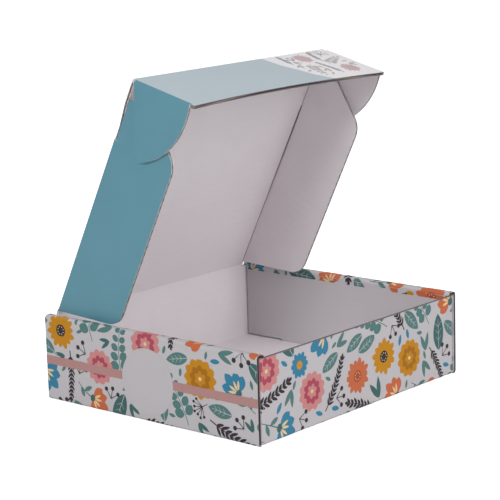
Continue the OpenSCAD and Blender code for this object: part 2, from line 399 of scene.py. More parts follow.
def standLid(x, y, z):
    # lid frame: hinge line on x, lid towards -y when shut; turned up about the hinge by the opening angle
    c, s = np.cos(lidTilt), np.sin(lidTilt)
    return np.stack([x, hingeY + y * c + z * s, hingeZ - y * s + z * c], -1)


def standTuck(x, y, z):
    # tuck frame: crease on x, flap towards -z; turned by its own angle, then carried by the lid
    c, s = np.cos(tuckTilt), np.sin(tuckTilt)
    return standLid(x, y * c - z * s - tuckU, y * s + z * c)


def lidFace(u, x, c):
    return standLid(x, -u, c)


def tuckFace(x, w, c):
    return standTuck(x, -c, -w)


def earFace(side):
    return lambda rho, w, c: standTuck(side * (earX + c), rho, -w)


def flapFace(side):
    return lambda u, s, c: standLid(side * (lidHalf - bead + c), -u, bead - s)


def tuckEdge(x):
    # free edge of the tuck flap: a shallow arc that is deepest at the ends
    return box["tuckDepth"] - box["tuckBow"] + bowR - np.sqrt(bowR**2 - np.minimum(np.abs(x), earX) ** 2)


reach, reachSide, reachEar = 2.0, 1.0, 1.6  # how far each crease piece runs into its panels


def lidOutline():
    # places along the lid and half its width there: cut in beside the side creases, widest at the front
    side = [
        (reach, hingeHalf), (box["sideStart"], hingeHalf), (box["sideStart"], flapX - reachSide),
        (sideEnd, flapX - reachSide), (sideEnd, lidHalf - box["edgeInset"]),
        (sideEnd + box["edgeLength"], lidHalf - box["edgeInset"]),
        ((sideEnd + box["edgeLength"] + tuckU) / 2, lidHalf), (tuckU - reach, lidHalf),
    ]
    rows = np.array([p[0] for p in side]) + np.arange(len(side)) * 1e-3
    return rows, np.array([p[1] for p in side])


lidRows, lidWidth = lidOutline()
lidFine = fluteRows(lidRows[0], lidRows[-1])
makePiece("lidBoard", boardSolids(lidRows, -lidWidth, lidWidth, lidFace, alongX, fineRows=lidFine),
          [tealPrint, plainLiner, cutLiner, fluting], "lid_body")
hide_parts("lid")

# the tuck flap, and at each end the strip beside the ear's crease
tuckCols = np.linspace(-earX + reachEar, earX - reachEar, 61)
tuckTop = np.full(len(tuckCols), reach)
tuckSolids = boardSolids(tuckCols, tuckTop, tuckEdge(tuckCols), tuckFace, acrossB, steps=110)
for side in (-1, 1):
    cols = np.linspace(earX - reachEar, earX, 3) * side
    tuckSolids.append(slab(cols, np.full(3, earEnd + 0.1), tuckEdge(cols), 3, tuckFace, -bead, bead, acrossB,
                           (0, 1, 2)))
# its cut edges take the darker paper, painted shade; its teal face is paler, partly as painted sheen
makePiece("tuckBoard", tuckSolids, [paleTealPrintAndSheen, plainLiner, paintedShadeCut, fluting], "tuck_flap_body")
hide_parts("tuck_flap")


def earOutline():
    # a quarter round about a centre above the crease, cut by a straight upper edge, with a rounded tip
    centre, top = np.array([0, -box["earRise"]]), np.array([0, box["earTop"]])
    slope = np.radians(box["earSlope"])
    aim = np.array([np.cos(slope), np.sin(slope)])
    ahead = (top - centre) @ aim
    run = -ahead + np.sqrt(ahead**2 + box["earRadius"] ** 2 - (top - centre) @ (top - centre))
    tip = top + aim * run
    a0 = np.arctan2(tip[1] - centre[1], tip[0]) + np.radians(9)
    a1 = np.arcsin(min(0.9995, (earEnd + box["earRise"]) / box["earRadius"]))
    angle = np.linspace(a0, a1, 25)
    curve = centre + box["earRadius"] * np.stack([np.cos(angle), np.sin(angle)], 1)
    tipArc = cornerArc(top, tip, curve[0], box["earTipRadius"], 8)
    return np.array([top + aim * reachEar / aim[0], *tipArc, *curve[:-1], [reachEar, curve[-1][1]]])


def flapOutline():
    # rear end sloping out from the crease, straight lower edge, and a nose in front that the slit cuts free
    nose = box["flapFront"] + box["noseRun"]
    start, slit = box["board"] + reachSide, box["board"] + box["slitWidth"]
    return rounded([
        ((box["sideStart"] + 0.35, start), 0), ((box["sideStart"] + 1.2, start + 1.7), 0),
        ((box["sideStart"] + box["flapRearRun"], box["flapDepth"]), box["flapRearRadius"]),
        ((box["flapFront"], box["flapDepth"]), box["flapFrontRadius"]),
        ((nose, box["noseDepth"]), box["noseRadius"]), ((nose - 3, slit), box["noseRadius"]),
        ((sideEnd + 6, slit), 0), ((sideEnd, start), 0),
    ])


# Behind the slit a side flap's inner liner nearly meets the lid: cover is what is left open, noseStop how far
# from the nose it ends, and a strip of painted crease shade runs along it, where the slit lies in shade
slitLook = dict(cover=0.12, noseStop=7.0, strip=0.7, proud=0.01, sunk=0.2)


def slitEdge(rows, low):
    # the inner liner's upper edge, raised in front of the crease so that the slit can't be seen through
    last = box["flapFront"] + box["noseRun"] - slitLook["noseStop"]
    ahead = (rows > sideEnd - 0.01) & (low < box["board"] + reachSide + 0.01) & (rows < last)
    return np.where(ahead, box["board"] + slitLook["cover"], low)


# teal on the left, and on the right the white field that runs on from the lid, its white painted lighter as
# painted light from above
sidePrint = {-1: tealPrint, 1: inkMaterials[inkNames.index("field")]}
for side, word in ((-1, "left"), (1, "right")):
    faces = [sidePrint[side], plainLiner, cutLiner, fluting]
    rows, low, high = spans(earOutline())
    fine = np.linspace(rows[0], rows[-1], 30)
    solids = boardSolids(rows, low, high, earFace(side), acrossB, fineRows=fine, steps=100)
    makePiece(word + "EarBoard", solids, faces, word + "_ear_body")
    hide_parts(word + "_ear")
    rows, low, high = spans(flapOutline())
    top = slitEdge(rows, low)
    ahead = top < low
    solids = boardSolids(rows, low, high, flapFace(side), alongX, top, fluteRows(rows[0], rows[-1]))
    # the strip along the slit, in painted crease shade
    solids.append(slab(rows[ahead], top[ahead], top[ahead] + slitLook["strip"], 2, flapFace(side),
                       -bead - slitLook["proud"], -bead + slitLook["sunk"], alongX, (4, 4, 4)))
    makePiece(word + "FlapBoard", solids, [*faces, paintedCreaseShade], word + "_side_flap_body")
    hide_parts(word + "_side_flap")
print("lid and flaps made")


# Folded paths of the tray

foldSteps = 16  # straight parts in a quarter fold


def foldPath(start, heading, moves):
    # straight runs, given by their lengths, and left-hand quarter folds; length is counted on the outer face
    at, aim, length = np.array(start, float), np.radians(heading), 0.0
    rows = [(0.0, *at, np.sin(aim), -np.cos(aim))]
    for move in moves:
        if move == "fold":
            centre = at + midR * np.array([-np.sin(aim), np.cos(aim)])
            for part in np.linspace(0, np.pi / 2, foldSteps + 1)[1:]:
                turned = aim + part
                out = np.array([np.sin(turned), -np.cos(turned)])
                rows.append((length + part * foldR, *(centre + midR * out), *out))
            at, aim, length = centre + midR * out, turned, length + quarter
        else:
            at = at + move * np.array([np.cos(aim), np.sin(aim)])
            length += move
            rows.append((length, *at, np.sin(aim), -np.cos(aim)))
    return np.array(rows)


def onPath(path, length, height):
    # the point at this length, lifted off the middle of the board along the fold's normal
    p = [np.interp(length, path[:, 0], path[:, k]) for k in range(1, 5)]
    size = np.hypot(p[2], p[3])
    return p[0] + height * p[2] / size, p[1] + height * p[3] / size


# a side wall, up from the floor, over and down inside; an end wall with its tabs; the fold at its foot
innerRun = box["height"] - foldR - box["board"] - box["panelGap"]
roll = foldPath((tabX, bead), 0, ["fold", box["height"] - 2 * foldR, "fold", halfW - foldR - innerX - foldR,
                                  "fold", innerRun])
rollFull = roll[-1, 0] - innerRun
wallRun, wallWide = box["tabLength"] - foldR, 2 * (tabX - foldR)
wallFlat = (wallRun + quarter, wallRun + quarter + wallWide)
endWall = foldPath((-tabX + bead, -halfD + box["tabLength"]), -90,
                   [wallRun, "fold", wallWide, "fold", wallRun])
footFold = foldPath((halfD - foldR, bead), 0, ["fold"])


def rollFace(side):
    def place(length, y, c):
        x, z = onPath(roll, length, c)
        return np.stack([side * x, y, z], -1)
    return place


def endFace(side):
    # side -1 is the front wall, +1 the rear wall, which is the front one turned half round
    def place(length, z, c):
        x, y = onPath(endWall, length, c)
        return np.stack([-side * x, -side * y, z], -1)
    return place


def footFace(side):
    def place(length, x, c):
        y, z = onPath(footFold, length, c)
        return np.stack([x, side * y, z], -1)
    return place


def floorFace(y, x, c):
    return np.stack([x, y, bead - c], -1)


def lockFace(side):
    # a locking tab carries the inner panel on, straight down through the floor
    def place(length, y, c):
        down = length - roll[-1, 0]
        return np.stack([side * (innerX + bead) - side * c, y, box["board"] + box["panelGap"] - down], -1)
    return place


def pathRows(path, first, last):
    # the path's own rows between two lengths, with both ends
    rows = path[:, 0]
    return np.unique(np.concatenate([[first], rows[(rows > first) & (rows < last)], [last]]))


def plainSolid(rows, low, high, place, flute):
    # whole board whose flutes don't show
    low, high = np.full(len(rows), low), np.full(len(rows), high)
    return slab(rows, low, high, 2, place, -bead, bead, flute, (0, 1, 2))


floorEnd = halfD - foldR
slotIn, slotOut = innerX - box["lockGap"], innerX + box["board"] + box["gap"] / 2
slotHalf = box["lockLength"] / 2 + box["lockGap"]
lockPlaces = [(i - (box["lockCount"] - 1) / 2) * lockPitch for i in range(box["lockCount"])]
taperRun = box["tabLength"] * 0.45  # the part of a corner tab that tapers


def floorMargin(side):
    # bridges of floor between the slots, and the strip outside them
    edges = [-floorEnd, *np.concatenate([(p - slotHalf, p + slotHalf) for p in lockPlaces]), floorEnd]
    margin = [plainSolid(ends, side * slotIn, side * slotOut, floorFace, alongX)
              for ends in zip(edges[::2], edges[1::2])]
    return [*margin, plainSolid((-floorEnd, floorEnd), side * slotOut, side * tabX, floorFace, alongX)]


def endWallSolids(side):
    # front or rear wall with its foot, its corner folds and the tabs, which taper at their ends
    total = endWall[-1, 0]
    extra = [taperRun, total - taperRun, wallFlat[0] - 1e-3, wallFlat[1] + 1e-3]
    rows = np.unique(np.concatenate([pathRows(endWall, 0, total), extra]))
    ease = np.clip(1 - np.minimum(rows, total - rows) / taperRun, 0, 1) * box["tabTaper"]
    low = np.where((rows > wallFlat[0] - 1e-6) & (rows < wallFlat[1] + 1e-6), foldR, tabLow + ease)
    return [plainSolid(footFold[:, 0], -tabX, tabX, footFace(side), acrossB),
            *boardSolids(rows, low, wallTop - ease, endFace(side), acrossB, steps=108)]


def rollSolids(side):
    # outer panel, top strip and their folds as two liners, with fluting near the open ends
    place, liner, paper = rollFace(side), boardLook["liner"], boardLook["flutePaper"]
    rows = pathRows(roll, 0, rollFull)
    ends = np.full(len(rows), halfD)
    solids = [slab(rows, -ends, ends, 2, place, bead - liner, bead, alongX, (0, 2, 2)),
              slab(rows, -ends, ends, 2, place, -bead, -bead + liner, alongX, (2, 1, 2))]

    def wave(b):
        return fluteWave(b + boardLook["rollShift"])

    near, far = ends - boardLook["rollRun"], ends - boardLook["rollInset"]
    return solids + [slab(rows, end * near, end * far, 22, place, lambda a, b: wave(b) - paper / 2,
                          lambda a, b: wave(b) + paper / 2, acrossB, (3, 3, 3)) for end in (-1, 1)]


def innerPanel(side):
    # the inner panel and its locking tabs
    end = halfD - box["board"] - box["panelGap"]
    solids = [plainSolid(pathRows(roll, rollFull, roll[-1, 0]), -end, end, rollFace(side), alongX)]
    rows = (roll[-1, 0], roll[-1, 0] + box["board"] + box["panelGap"] - box["gap"])
    half = box["lockLength"] / 2
    return solids + [plainSolid(rows, p - half, p + half, lockFace(side), alongX) for p in lockPlaces]


traySolids = boardSolids(np.array([-floorEnd, floorEnd]), np.full(2, -slotIn), np.full(2, slotIn), floorFace,
                         alongX)
for side in (-1, 1):
    traySolids += floorMargin(side) + endWallSolids(side) + rollSolids(side) + innerPanel(side)
# the tray's cut edges and fluting take the darker copies: painted shade
makePiece("trayBoard", traySolids, [whitePrint, plainLiner, paintedShadeCut, paintedShadeFluting], "tray_body")
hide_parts("tray")
print("tray made")


# Print: flat shapes of ink on the sheet, folded with it. The sheet counts a along the fold path, b across it.
# Ink is sunk by under, stands skin proud and one step more for each level, and stops edge short of a cut;
# motifs may lie as far as margin past the panels, or past the corner folds by corner, and gap apart
printLook = dict(under=0.02, skin=0.02, step=0.006, edge=0.05, foldRow=0.4, cutRow=0.7, stemStep=0.6,
                 margin=7.0, corner=3.0, gap=0.1, tries=400)


def lens(start, end, width, swell=0.8, bias=1.0, count=9):
    # leaf or petal: half width = width / 2 x sin(pi x s^bias)^swell along the line from start to end
    s = np.linspace(0, 1, count)
    start, end = np.array(start, float), np.array(end, float)
    along = (end - start) / np.linalg.norm(end - start)
    half = (width / 2 * np.abs(np.sin(np.pi * s**bias)) ** swell)[:, None] * np.array([-along[1], along[0]])
    middle = start + (end - start) * s[:, None]
    return np.concatenate([middle + half, (middle - half)[-2:0:-1]])


def disc(x, y, radius, stretch=1.0, count=14):
    # x + radius x cos t, y + radius x stretch x sin t
    t = np.linspace(0, 2 * np.pi, count, endpoint=False)
    return np.stack([x + radius * np.cos(t), y + radius * stretch * np.sin(t)], 1)


def bend(start, angle, length, curl, count=9):
    # a stem: its heading turns evenly from angle to angle + curl
    turn = np.radians(angle + curl * (np.arange(count - 1) + 0.5) / (count - 1))
    steps = np.stack([np.cos(turn), np.sin(turn)], 1) * length / (count - 1)
    return np.array(start, float) + np.concatenate([[[0, 0]], np.cumsum(steps, 0)])


def polar(angle, radius):
    return np.array([np.cos(np.radians(angle)), np.sin(np.radians(angle))]) * radius


def patch(outline, ink):
    return dict(shape=outline, ink=ink, width=0)


def stroke(line, width, ink):
    return dict(shape=line, ink=ink, width=width)


def raised(parts, level=0):
    # each part lies one step higher than the part before it
    return [dict(part, level=level + k) for k, part in enumerate(parts)]


# Motifs: each gives its parts from the lowest up, and the circles that it takes up as x, y, radius

def daisy(r, ink, heart, rng):
    # narrow blunt petals round a disc, every other one a little shorter
    count = rng.integers(12, 16)
    parts = []
    for k in range(count):
        t = 360 / count * k
        tip = polar(t, r * (0.9 + 0.1 * (k % 2)))
        parts.append(patch(lens(polar(t, 0.2 * r), tip, r * 4.7 / count, 0.5, 1.15), ink))
    parts.append(patch(disc(0, 0, 0.32 * r, 1, 18), heart))
    parts += [patch(disc(*polar(t, 0.2 * r), 0.035 * r, 1, 6), "cream") for t in range(0, 360, 45)]
    return parts, [(0, 0, r)]


def dahlia(r, ink, heart, rng):
    # three rings of pointed petals, each ring shorter and turned by half a petal
    parts = [patch(disc(0, 0, 0.72 * r, 1, 24), ink)]
    rings = ((12, 0.3, 1.0, 0.5, ink), (9, 0.12, 0.66, 0.36, heart), (6, 0.04, 0.38, 0.24, ink))
    for ring, (count, inner, outer, wide, tone) in enumerate(rings):
        for k in range(count):
            t = 360 / count * (k + 0.5 * ring)
            parts.append(patch(lens(polar(t, inner * r), polar(t, outer * r), wide * r, 0.62, 1.1), tone))
    parts.append(patch(disc(0, 0, 0.1 * r, 1, 12), "cream"))
    return parts, [(0, 0, r)]


def fan(r, ink, heart, rng):
    # a blossom seen from the side: petals spread from the top of a stem, with filaments and two leaves
    stem = bend((0, -0.1 * r), -90, 1.2 * r, rng.uniform(-35, 35))
    parts = []
    for side in (-1, 1):
        foot = stem[4 if side < 0 else 6]
        parts.append(patch(lens(foot, foot + polar(90 - side * 48, 0.62 * r), 0.24 * r), "leaf"))
    parts.append(stroke(stem, 0.9, "deepLeaf"))
    for t in (-64, 64, -34, 34, 0):
        long = r * (1.15 - abs(t) / 260)
        parts.append(patch(lens((0, 0), polar(90 + t, long), r * 0.52, 0.7, 1.35), ink))
    parts += [patch(lens(polar(90 + t, 0.1 * r), polar(90 + t, 0.62 * r), r * 0.13, 0.8), heart)
              for t in (-46, -17, 17, 46)]
    parts.append(patch(disc(0, -0.04 * r, 0.2 * r, 0.8), "deepLeaf"))
    return parts, [(0, 0.45 * r, 0.85 * r), (0, -0.75 * r, 0.55 * r)]


def roundSprig(length, ink, heart, rng):
    # a bending stem with coin-shaped leaves in pairs that get smaller towards the tip
    stem = bend((0, -length / 2), 90 - rng.uniform(8, 22), length,
                rng.choice([-1, 1]) * rng.uniform(10, 40), 13)
    parts = [stroke(stem, 0.7, ink)]
    for k in range(2, 12, 2):
        ahead = stem[k] - stem[k - 1]
        t = np.degrees(np.arctan2(ahead[1], ahead[0]))
        size = length * (0.13 - 0.006 * k)
        for side in (-1, 1):
            tip = polar(t + side * 58, 2.15 * size)
            parts.append(patch(lens(stem[k] + tip * 0.12, stem[k] + tip, 1.45 * size, 0.55), ink))
    parts.append(patch(lens(stem[-1], stem[-1] + (stem[-1] - stem[-2]) * 1.1, length * 0.09, 0.6), ink))
    return parts, [(*stem[k], length * 0.19) for k in (1, 4, 7, 10, 12)]


def feather(length, ink, heart, rng):
    # a long twig with short blunt leaflets that alternate from side to side
    stem = bend((0, -length / 2), 90 - rng.uniform(4, 14), length,
                rng.choice([-1, 1]) * rng.uniform(14, 34), 25)
    parts = [stroke(stem, 1.0, ink)]
    for k in range(3, 24, 2):
        ahead = stem[k] - stem[k - 1]
        t = np.degrees(np.arctan2(ahead[1], ahead[0]))
        side = 1 if k % 4 == 1 else -1
        reachOut = length * (0.18 - 0.003 * k)
        for share, turn in ((1.0, 40), (0.8, -36)):
            tip = stem[k] + polar(t + side * turn, reachOut * share)
            parts.append(patch(lens(stem[k], tip, 0.046 * length, 0.7, 0.85), ink))
    parts.append(patch(lens(stem[-1], 2 * stem[-1] - stem[-3], 0.05 * length, 0.6), ink))
    return parts, [(*stem[k], length * 0.11) for k in range(2, 25, 4)]


def umbel(r, ink, heart, rng):
    # fine rays from one point, each with a bead, above a short stem
    foot = np.array([0, -0.3 * r])
    parts = [stroke(bend(foot, -90, 0.9 * r, rng.uniform(-30, 30)), 0.7, ink)]
    tips = [foot + polar(90 + t, r * (1.12 + 0.16 * (k % 2))) for k, t in enumerate(np.linspace(-72, 72, 7))]
    parts += [stroke(np.linspace(foot, tip, 6), 0.65, ink) for tip in tips]
    parts += [patch(disc(*tip, 0.13 * r + 0.25, 1, 12), heart) for tip in tips]
    return parts, [(0, 0.35 * r, 0.95 * r), (0, -0.8 * r, 0.35 * r)]


def veinLeaf(length, ink, heart, rng):
    # one broad leaf with a bare middle vein and bare side veins
    parts = [patch(lens((0, -length / 2), (0, length / 2), length * 0.44, 0.75, 0.9, 13), ink),
             stroke(np.linspace((0, -length * 0.62), (0, length * 0.34), 9), 0.5, "white")]
    for y in (-0.22, -0.04, 0.14):
        for side in (-1, 1):
            root = np.array([0, y * length])
            tip = root + polar(90 - side * 46, length * 0.17)
            parts.append(stroke(np.linspace(root, tip, 4), 0.35, "white"))
    return parts, [(0, y * length, r * length) for y, r in ((-0.28, 0.2), (0, 0.24), (0.28, 0.2))]


def budStem(length, ink, heart, rng):
    # two oval buds on a widely forked stem
    parts = []
    for side, share in ((-1, 1.0), (1, 0.72)):
        line = bend((0, -length / 2), 90 - side * 42, length * 0.62 * share, side * 34)
        aim = polar(90 - side * 10, length * 0.4)
        foot = line[-1]
        parts += [stroke(line, 1.0, "charcoal"),
                  patch(lens(foot, foot + aim, length * 0.26, 0.55, 0.85), ink),
                  patch(lens(foot - aim * 0.14, foot + aim * 0.16, length * 0.1, 0.6), "charcoal")]
    return parts, [(0, -0.34 * length, 0.14 * length), (-0.28 * length, 0.2 * length, 0.24 * length),
                   (0.2 * length, 0.02 * length, 0.24 * length)]


def berries(r, ink, heart, rng):
    # three round berries on short stalks
    foot = np.array([0, -r])
    tips = [foot + polar(90 + t, 1.45 * r) for t in (-46, 0, 46)]
    parts = [stroke(np.linspace(foot, tip, 6), 0.8, "charcoal") for tip in tips]
    parts += [patch(disc(*tip, 0.3 * r), ink) for tip in tips]
    return parts, [(0, 0.1 * r, 0.95 * r), (0, -0.8 * r, 0.3 * r)]


def leafPair(length, ink, heart, rng):
    # two leaves from one foot
    parts = [patch(lens((0, -length / 2), polar(90 + t, length / 2), length * 0.27, 0.8, 0.9), ink)
             for t in (-38, 38)]
    return parts, [(0, 0, 0.42 * length)]


def seed(r, ink, heart, rng):
    # one small pointed oval
    return [patch(lens((0, -r), (0, r), 0.8 * r, 0.7), ink)], [(0, 0, r)]


# What is strewn on a wall, largest first: motif, size, its inks, how many are wanted
motifPlan = [
    (dahlia, 15.0, ("mustard", "deepMustard"), 1), (daisy, 14.5, ("coral", "deepCoral"), 1),
    (roundSprig, 42.0, ("leaf", "leaf"), 3), (feather, 50.0, ("charcoal", "charcoal"), 2),
    (dahlia, 14.5, ("rose", "deepRose"), 2), (daisy, 14.5, ("mustard", "charcoal"), 1),
    (fan, 15.0, ("blue", "cream"), 2), (fan, 15.0, ("coral", "cream"), 3),
    (veinLeaf, 28.0, ("deepLeaf", "leaf"), 3), (feather, 38.0, ("charcoal", "charcoal"), 3),
    (roundSprig, 32.0, ("deepLeaf", "leaf"), 4), (budStem, 28.0, ("mustard", "mustard"), 3),
    (daisy, 10.0, ("blue", "mustard"), 2), (fan, 11.0, ("rose", "cream"), 2),
    (veinLeaf, 22.0, ("leaf", "leaf"), 6), (berries, 9.0, ("blue", "blue"), 3),
    (umbel, 10.0, ("charcoal", "mustard"), 2), (leafPair, 18.0, ("deepLeaf", "leaf"), 5),
    (budStem, 21.0, ("rose", "rose"), 3), (budStem, 20.0, ("mustard", "mustard"), 3),
    (leafPair, 15.0, ("leaf", "leaf"), 6), (umbel, 7.0, ("charcoal", "charcoal"), 3),
    (berries, 6.0, ("charcoal", "charcoal"), 7), (leafPair, 12.0, ("deepLeaf", "leaf"), 12),
    (seed, 6.2, ("mustard", "leaf"), 5), (seed, 5.4, ("deepLeaf", "leaf"), 10),
    (seed, 4.4, ("blue", "leaf"), 14), (seed, 3.4, ("leaf", "leaf"), 24),
]


def strew(region, plan, number):
    # each motif is tried at random places and turns, and stays where its circles clear those already there
    rng = np.random.default_rng(number)
    taken, parts = np.zeros((0, 3)), []
    a0, a1, b0, b1 = region
    for motif, size, tones, wanted in plan:
        for _ in range(wanted):
            made, circles = motif(size * rng.uniform(0.92, 1.06), *tones, rng)
            circles = np.array(circles, float)
            for _ in range(printLook["tries"]):
                t = np.radians(rng.uniform(-180, 180))
                swing = np.array([[np.cos(t), np.sin(t)], [-np.sin(t), np.cos(t)]])
                at = np.array([rng.uniform(a0, a1), rng.uniform(b0, b1)])
                spots = circles[:, :2] @ swing + at
                apart = np.hypot(spots[:, None, 0] - taken[None, :, 0], spots[:, None, 1] - taken[None, :, 1])
                if (apart >= circles[:, 2:] + taken[None, :, 2] + printLook["gap"]).all():
                    taken = np.concatenate([taken, np.column_stack([spots, circles[:, 2]])])
                    parts += [dict(part, shape=part["shape"] @ swing + at) for part in raised(made)]
                    break
    return parts


def inkSolid(a, b, part, panel):
    # ink over a grid of sheet points, at the height of the part's level
    ink = inkNames.index(part["ink"])
    top = bead + printLook["skin"] + printLook["step"] * part["level"]
    return [sheetSolid(a, b, bead - printLook["under"], top, panel["place"], panel["flute"], (ink, ink, ink))]


def inkPatch(part, panel):
    # a rounded shape cut to the panel: rows along a, each from its low to its high b
    a0, a1, b0, b1 = panel["bounds"]
    outline = part["shape"]
    (left, bottom), (right, top) = outline.min(0), outline.max(0)
    if left >= a1 - 0.05 or right <= a0 + 0.05 or bottom >= b1 - 0.05 or top <= b0 + 0.05:
        return []
    rows, low, high = spans(outline)
    more = [rows, np.clip([a0, a1], left, right)]
    for f0, f1 in panel["folds"]:
        if left < f1 and right > f0:
            more.append(np.arange(max(f0, left), min(f1, right), printLook["foldRow"]))
    if bottom < b0 or top > b1:
        more.append(np.arange(left, right, printLook["cutRow"]))
    fine = np.unique(np.round(np.concatenate(more), 4))
    fine = fine[(fine >= max(a0, left)) & (fine <= min(a1, right))]
    low, high = (np.clip(np.interp(fine, rows, line), b0, b1) for line in (low, high))
    wide = np.flatnonzero(high - low > 0.02)
    if len(wide) < 2:
        return []
    keep = np.s_[max(0, wide[0] - 1): wide[-1] + 2]
    share = np.linspace(0, 1, panel["steps"])
    b = low[keep, None] + (high - low)[keep, None] * share
    return inkSolid(fine[keep, None] + 0 * share, b, part, panel)


def inkStroke(part, panel):
    # a stem: stations along its line, half its width to each side, narrower at the end
    a0, a1, b0, b1 = panel["bounds"]
    line = part["shape"]
    run = np.concatenate([[0], np.cumsum(np.hypot(*np.diff(line, axis=0).T))])
    s = np.linspace(0, run[-1], max(3, int(run[-1] / printLook["stemStep"])))
    line = np.stack([np.interp(s, run, line[:, k]) for k in (0, 1)], 1)
    aim = np.gradient(line, axis=0)
    across = np.stack([-aim[:, 1], aim[:, 0]], 1) / np.linalg.norm(aim, axis=1)[:, None]
    half = (part["width"] / 2 * (1 - 0.45 * s / run[-1]))[:, None]
    edges = np.stack([line - across * half, line + across * half], 1)
    inside = ((line > [a0, b0]) & (line < [a1, b1])).all(1)
    solids = []
    for group in np.split(np.arange(len(s)), np.flatnonzero(np.diff(inside.astype(int))) + 1):
        if inside[group[0]] and len(group) > 1:
            group = np.arange(max(0, group[0] - 1), min(len(s), group[-1] + 2))
            a, b = np.clip(edges[group, :, 0], a0, a1), np.clip(edges[group, :, 1], b0, b1)
            solids += inkSolid(a, b, part, panel)
    return solids


def inked(parts, panels):
    # every part on every panel that it reaches
    return [solid for part in parts for panel in panels
            for solid in (inkStroke if part["width"] else inkPatch)(part, panel)]


# where ink needs close rows: the foot fold, the top fold with its strip, the inner fold with its panel
topFold, topStrip, innerFold = foldSteps + 2, 2 * foldSteps + 2, 2 * foldSteps + 3
foldRows = [(0, quarter), (roll[topFold, 0] - 0.1, roll[topStrip, 0] + 0.1),
            (roll[innerFold, 0] - 0.1, roll[-1, 0] + 0.1)]
bleed, wrap = 3.6, 0.3  # how far the print runs on inside, and how far from the end of a fold it starts
margin, edge = printLook["margin"], printLook["edge"]
rollRegion = (-margin, rollFull + margin, -halfD - margin, halfD + margin)
pastFold = quarter + printLook["corner"]
wallRegion = (wallFlat[0] - pastFold, wallFlat[1] + pastFold, -margin, wallTop + margin)


def panelOf(bounds, folds, place, flute, steps=2):
    # where ink may lie: bounds in a and b, the stretches that are folded, and how the sheet stands there
    return dict(bounds=bounds, folds=folds, steps=steps, place=place, flute=flute)


def rollPanels(side):
    # the outer panel with its top strip, and the start of the inner panel, which is a little shorter
    innerHalf = halfD - box["board"] - box["panelGap"] - edge
    ends = ((wrap, rollFull, halfD - edge), (rollFull, rollFull + bleed, innerHalf))
    return [panelOf((a0, a1, -b, b), foldRows, rollFace(side), alongX) for a0, a1, b in ends]


def wallPanels(side):
    # the wall, its two corner folds, and its foot
    def foot(a, b, c):
        return footFace(side)(quarter - foldR + b, -side * (a - sum(wallFlat) / 2), c)

    corners = ((wallFlat[0] - quarter + wrap, wallFlat[0]), (wallFlat[1], wallFlat[1] + quarter - wrap))
    return [
        panelOf((*wallFlat, foldR, wallTop - edge), [], endFace(side), acrossB),
        *[panelOf((*c, tabLow + edge, wallTop - edge), [c], endFace(side), acrossB) for c in corners],
        panelOf((*wallFlat, foldR - quarter + wrap, foldR), [], foot, acrossB, 9),
    ]


for word, number, region, panels in (
        ("left", 232, rollRegion, rollPanels(-1)), ("right", 228, rollRegion, rollPanels(1)),
        ("front", 241, wallRegion, wallPanels(-1)), ("rear", 232, wallRegion, wallPanels(1))):
    ink = inked(strew(region, motifPlan, number), panels)
    makePiece(word + "Print", ink, inkMaterials, "tray_body")

# The ribbon band and the plain disc on the left wall
labelLook = dict(bandLow=26.6, bandHigh=33.6, discHigh=29.0, discRadius=24.5, ringWidth=0.3, level=30)
sheetUp = quarter - foldR  # what the sheet has counted more than the height, past the foot fold
bandLow, bandHigh, discAt = (labelLook[k] + sheetUp for k in ("bandLow", "bandHigh", "discHigh"))
label = [
    patch(np.array([(bandLow, -halfD), (bandHigh, -halfD), (bandHigh, halfD), (bandLow, halfD)]), "ribbon"),
    patch(disc(discAt, 0, labelLook["discRadius"], 1, 96), "faintGrey"),
    patch(disc(discAt, 0, labelLook["discRadius"] - labelLook["ringWidth"], 1, 96), "white"),
]
makePiece("labelPrint", inked(raised(label, labelLook["level"]), rollPanels(-1)), inkMaterials, "tray_body")

# The white field on the right of the lid and tuck flap starts at x, leans away over the tuck flap and meets
# its free edge at foot; a few faint sprigs stand inside the given margins of the flap
fieldLook = dict(x=31.5, side=[(34, 18), (39, 30), (43.5, 43)], foot=52.0, sprigSide=15.0, sprigEnd=6.0,
                 sprigLow=8.0, sprigHigh=46.0, sprigLevel=2, seed=8)
fieldPlan = [
    (daisy, 9.0, ("faintRose", "faintGrey"), 2), (roundSprig, 24.0, ("faintGrey", "faintGrey"), 2),
    (feather, 24.0, ("faintSlate", "faintGrey"), 3), (umbel, 6.5, ("faintSlate", "faintRose"), 3),
    (fan, 6.0, ("faintRose", "faintGrey"), 2), (leafPair, 9.0, ("faintGrey", "faintRose"), 4),
    (berries, 4.0, ("faintSlate", "faintSlate"), 3), (seed, 3.2, ("faintRose", "faintRose"), 6),
]
fieldX, fieldEdge = fieldLook["x"], earX - reachEar
fieldRows = np.linspace(fieldLook["foot"], fieldEdge, 40)
fieldShape = np.concatenate([[(fieldX, reach)], fieldLook["side"],
                             np.stack([fieldRows, tuckEdge(fieldRows)], 1), [(fieldEdge, reach)]])
tuckPanel = panelOf((fieldX, fieldEdge, reach, box["tuckDepth"]), [], tuckFace, acrossB)
sprigRegion = (fieldX + fieldLook["sprigSide"], fieldEdge - fieldLook["sprigEnd"], fieldLook["sprigLow"],
               fieldLook["sprigHigh"])
sprigs = [dict(part, level=part["level"] + fieldLook["sprigLevel"])
          for part in strew(sprigRegion, fieldPlan, fieldLook["seed"])]
# the field's white is painted lighter than the white print: painted light from above
makePiece("fieldPrint", inked(raised([patch(fieldShape, "field")]) + sprigs, [tuckPanel]), inkMaterials,
          "tuck_flap_body")
# on the lid too, in the same lighter painted white
fieldSolid = slab(lidRows, np.full(len(lidRows), fieldX), np.maximum(lidWidth, fieldX + 1), 2, lidFace,
                  bead - printLook["under"], bead + printLook["skin"], alongX, (inkNames.index("field"),) * 3)
makePiece("lidFieldPrint", [fieldSolid], inkMaterials, "lid_body")
print("print laid")


# Creases between panels, shaped where they stand

groove = 0.18  # how far the inside of a fold is pressed in at its corner


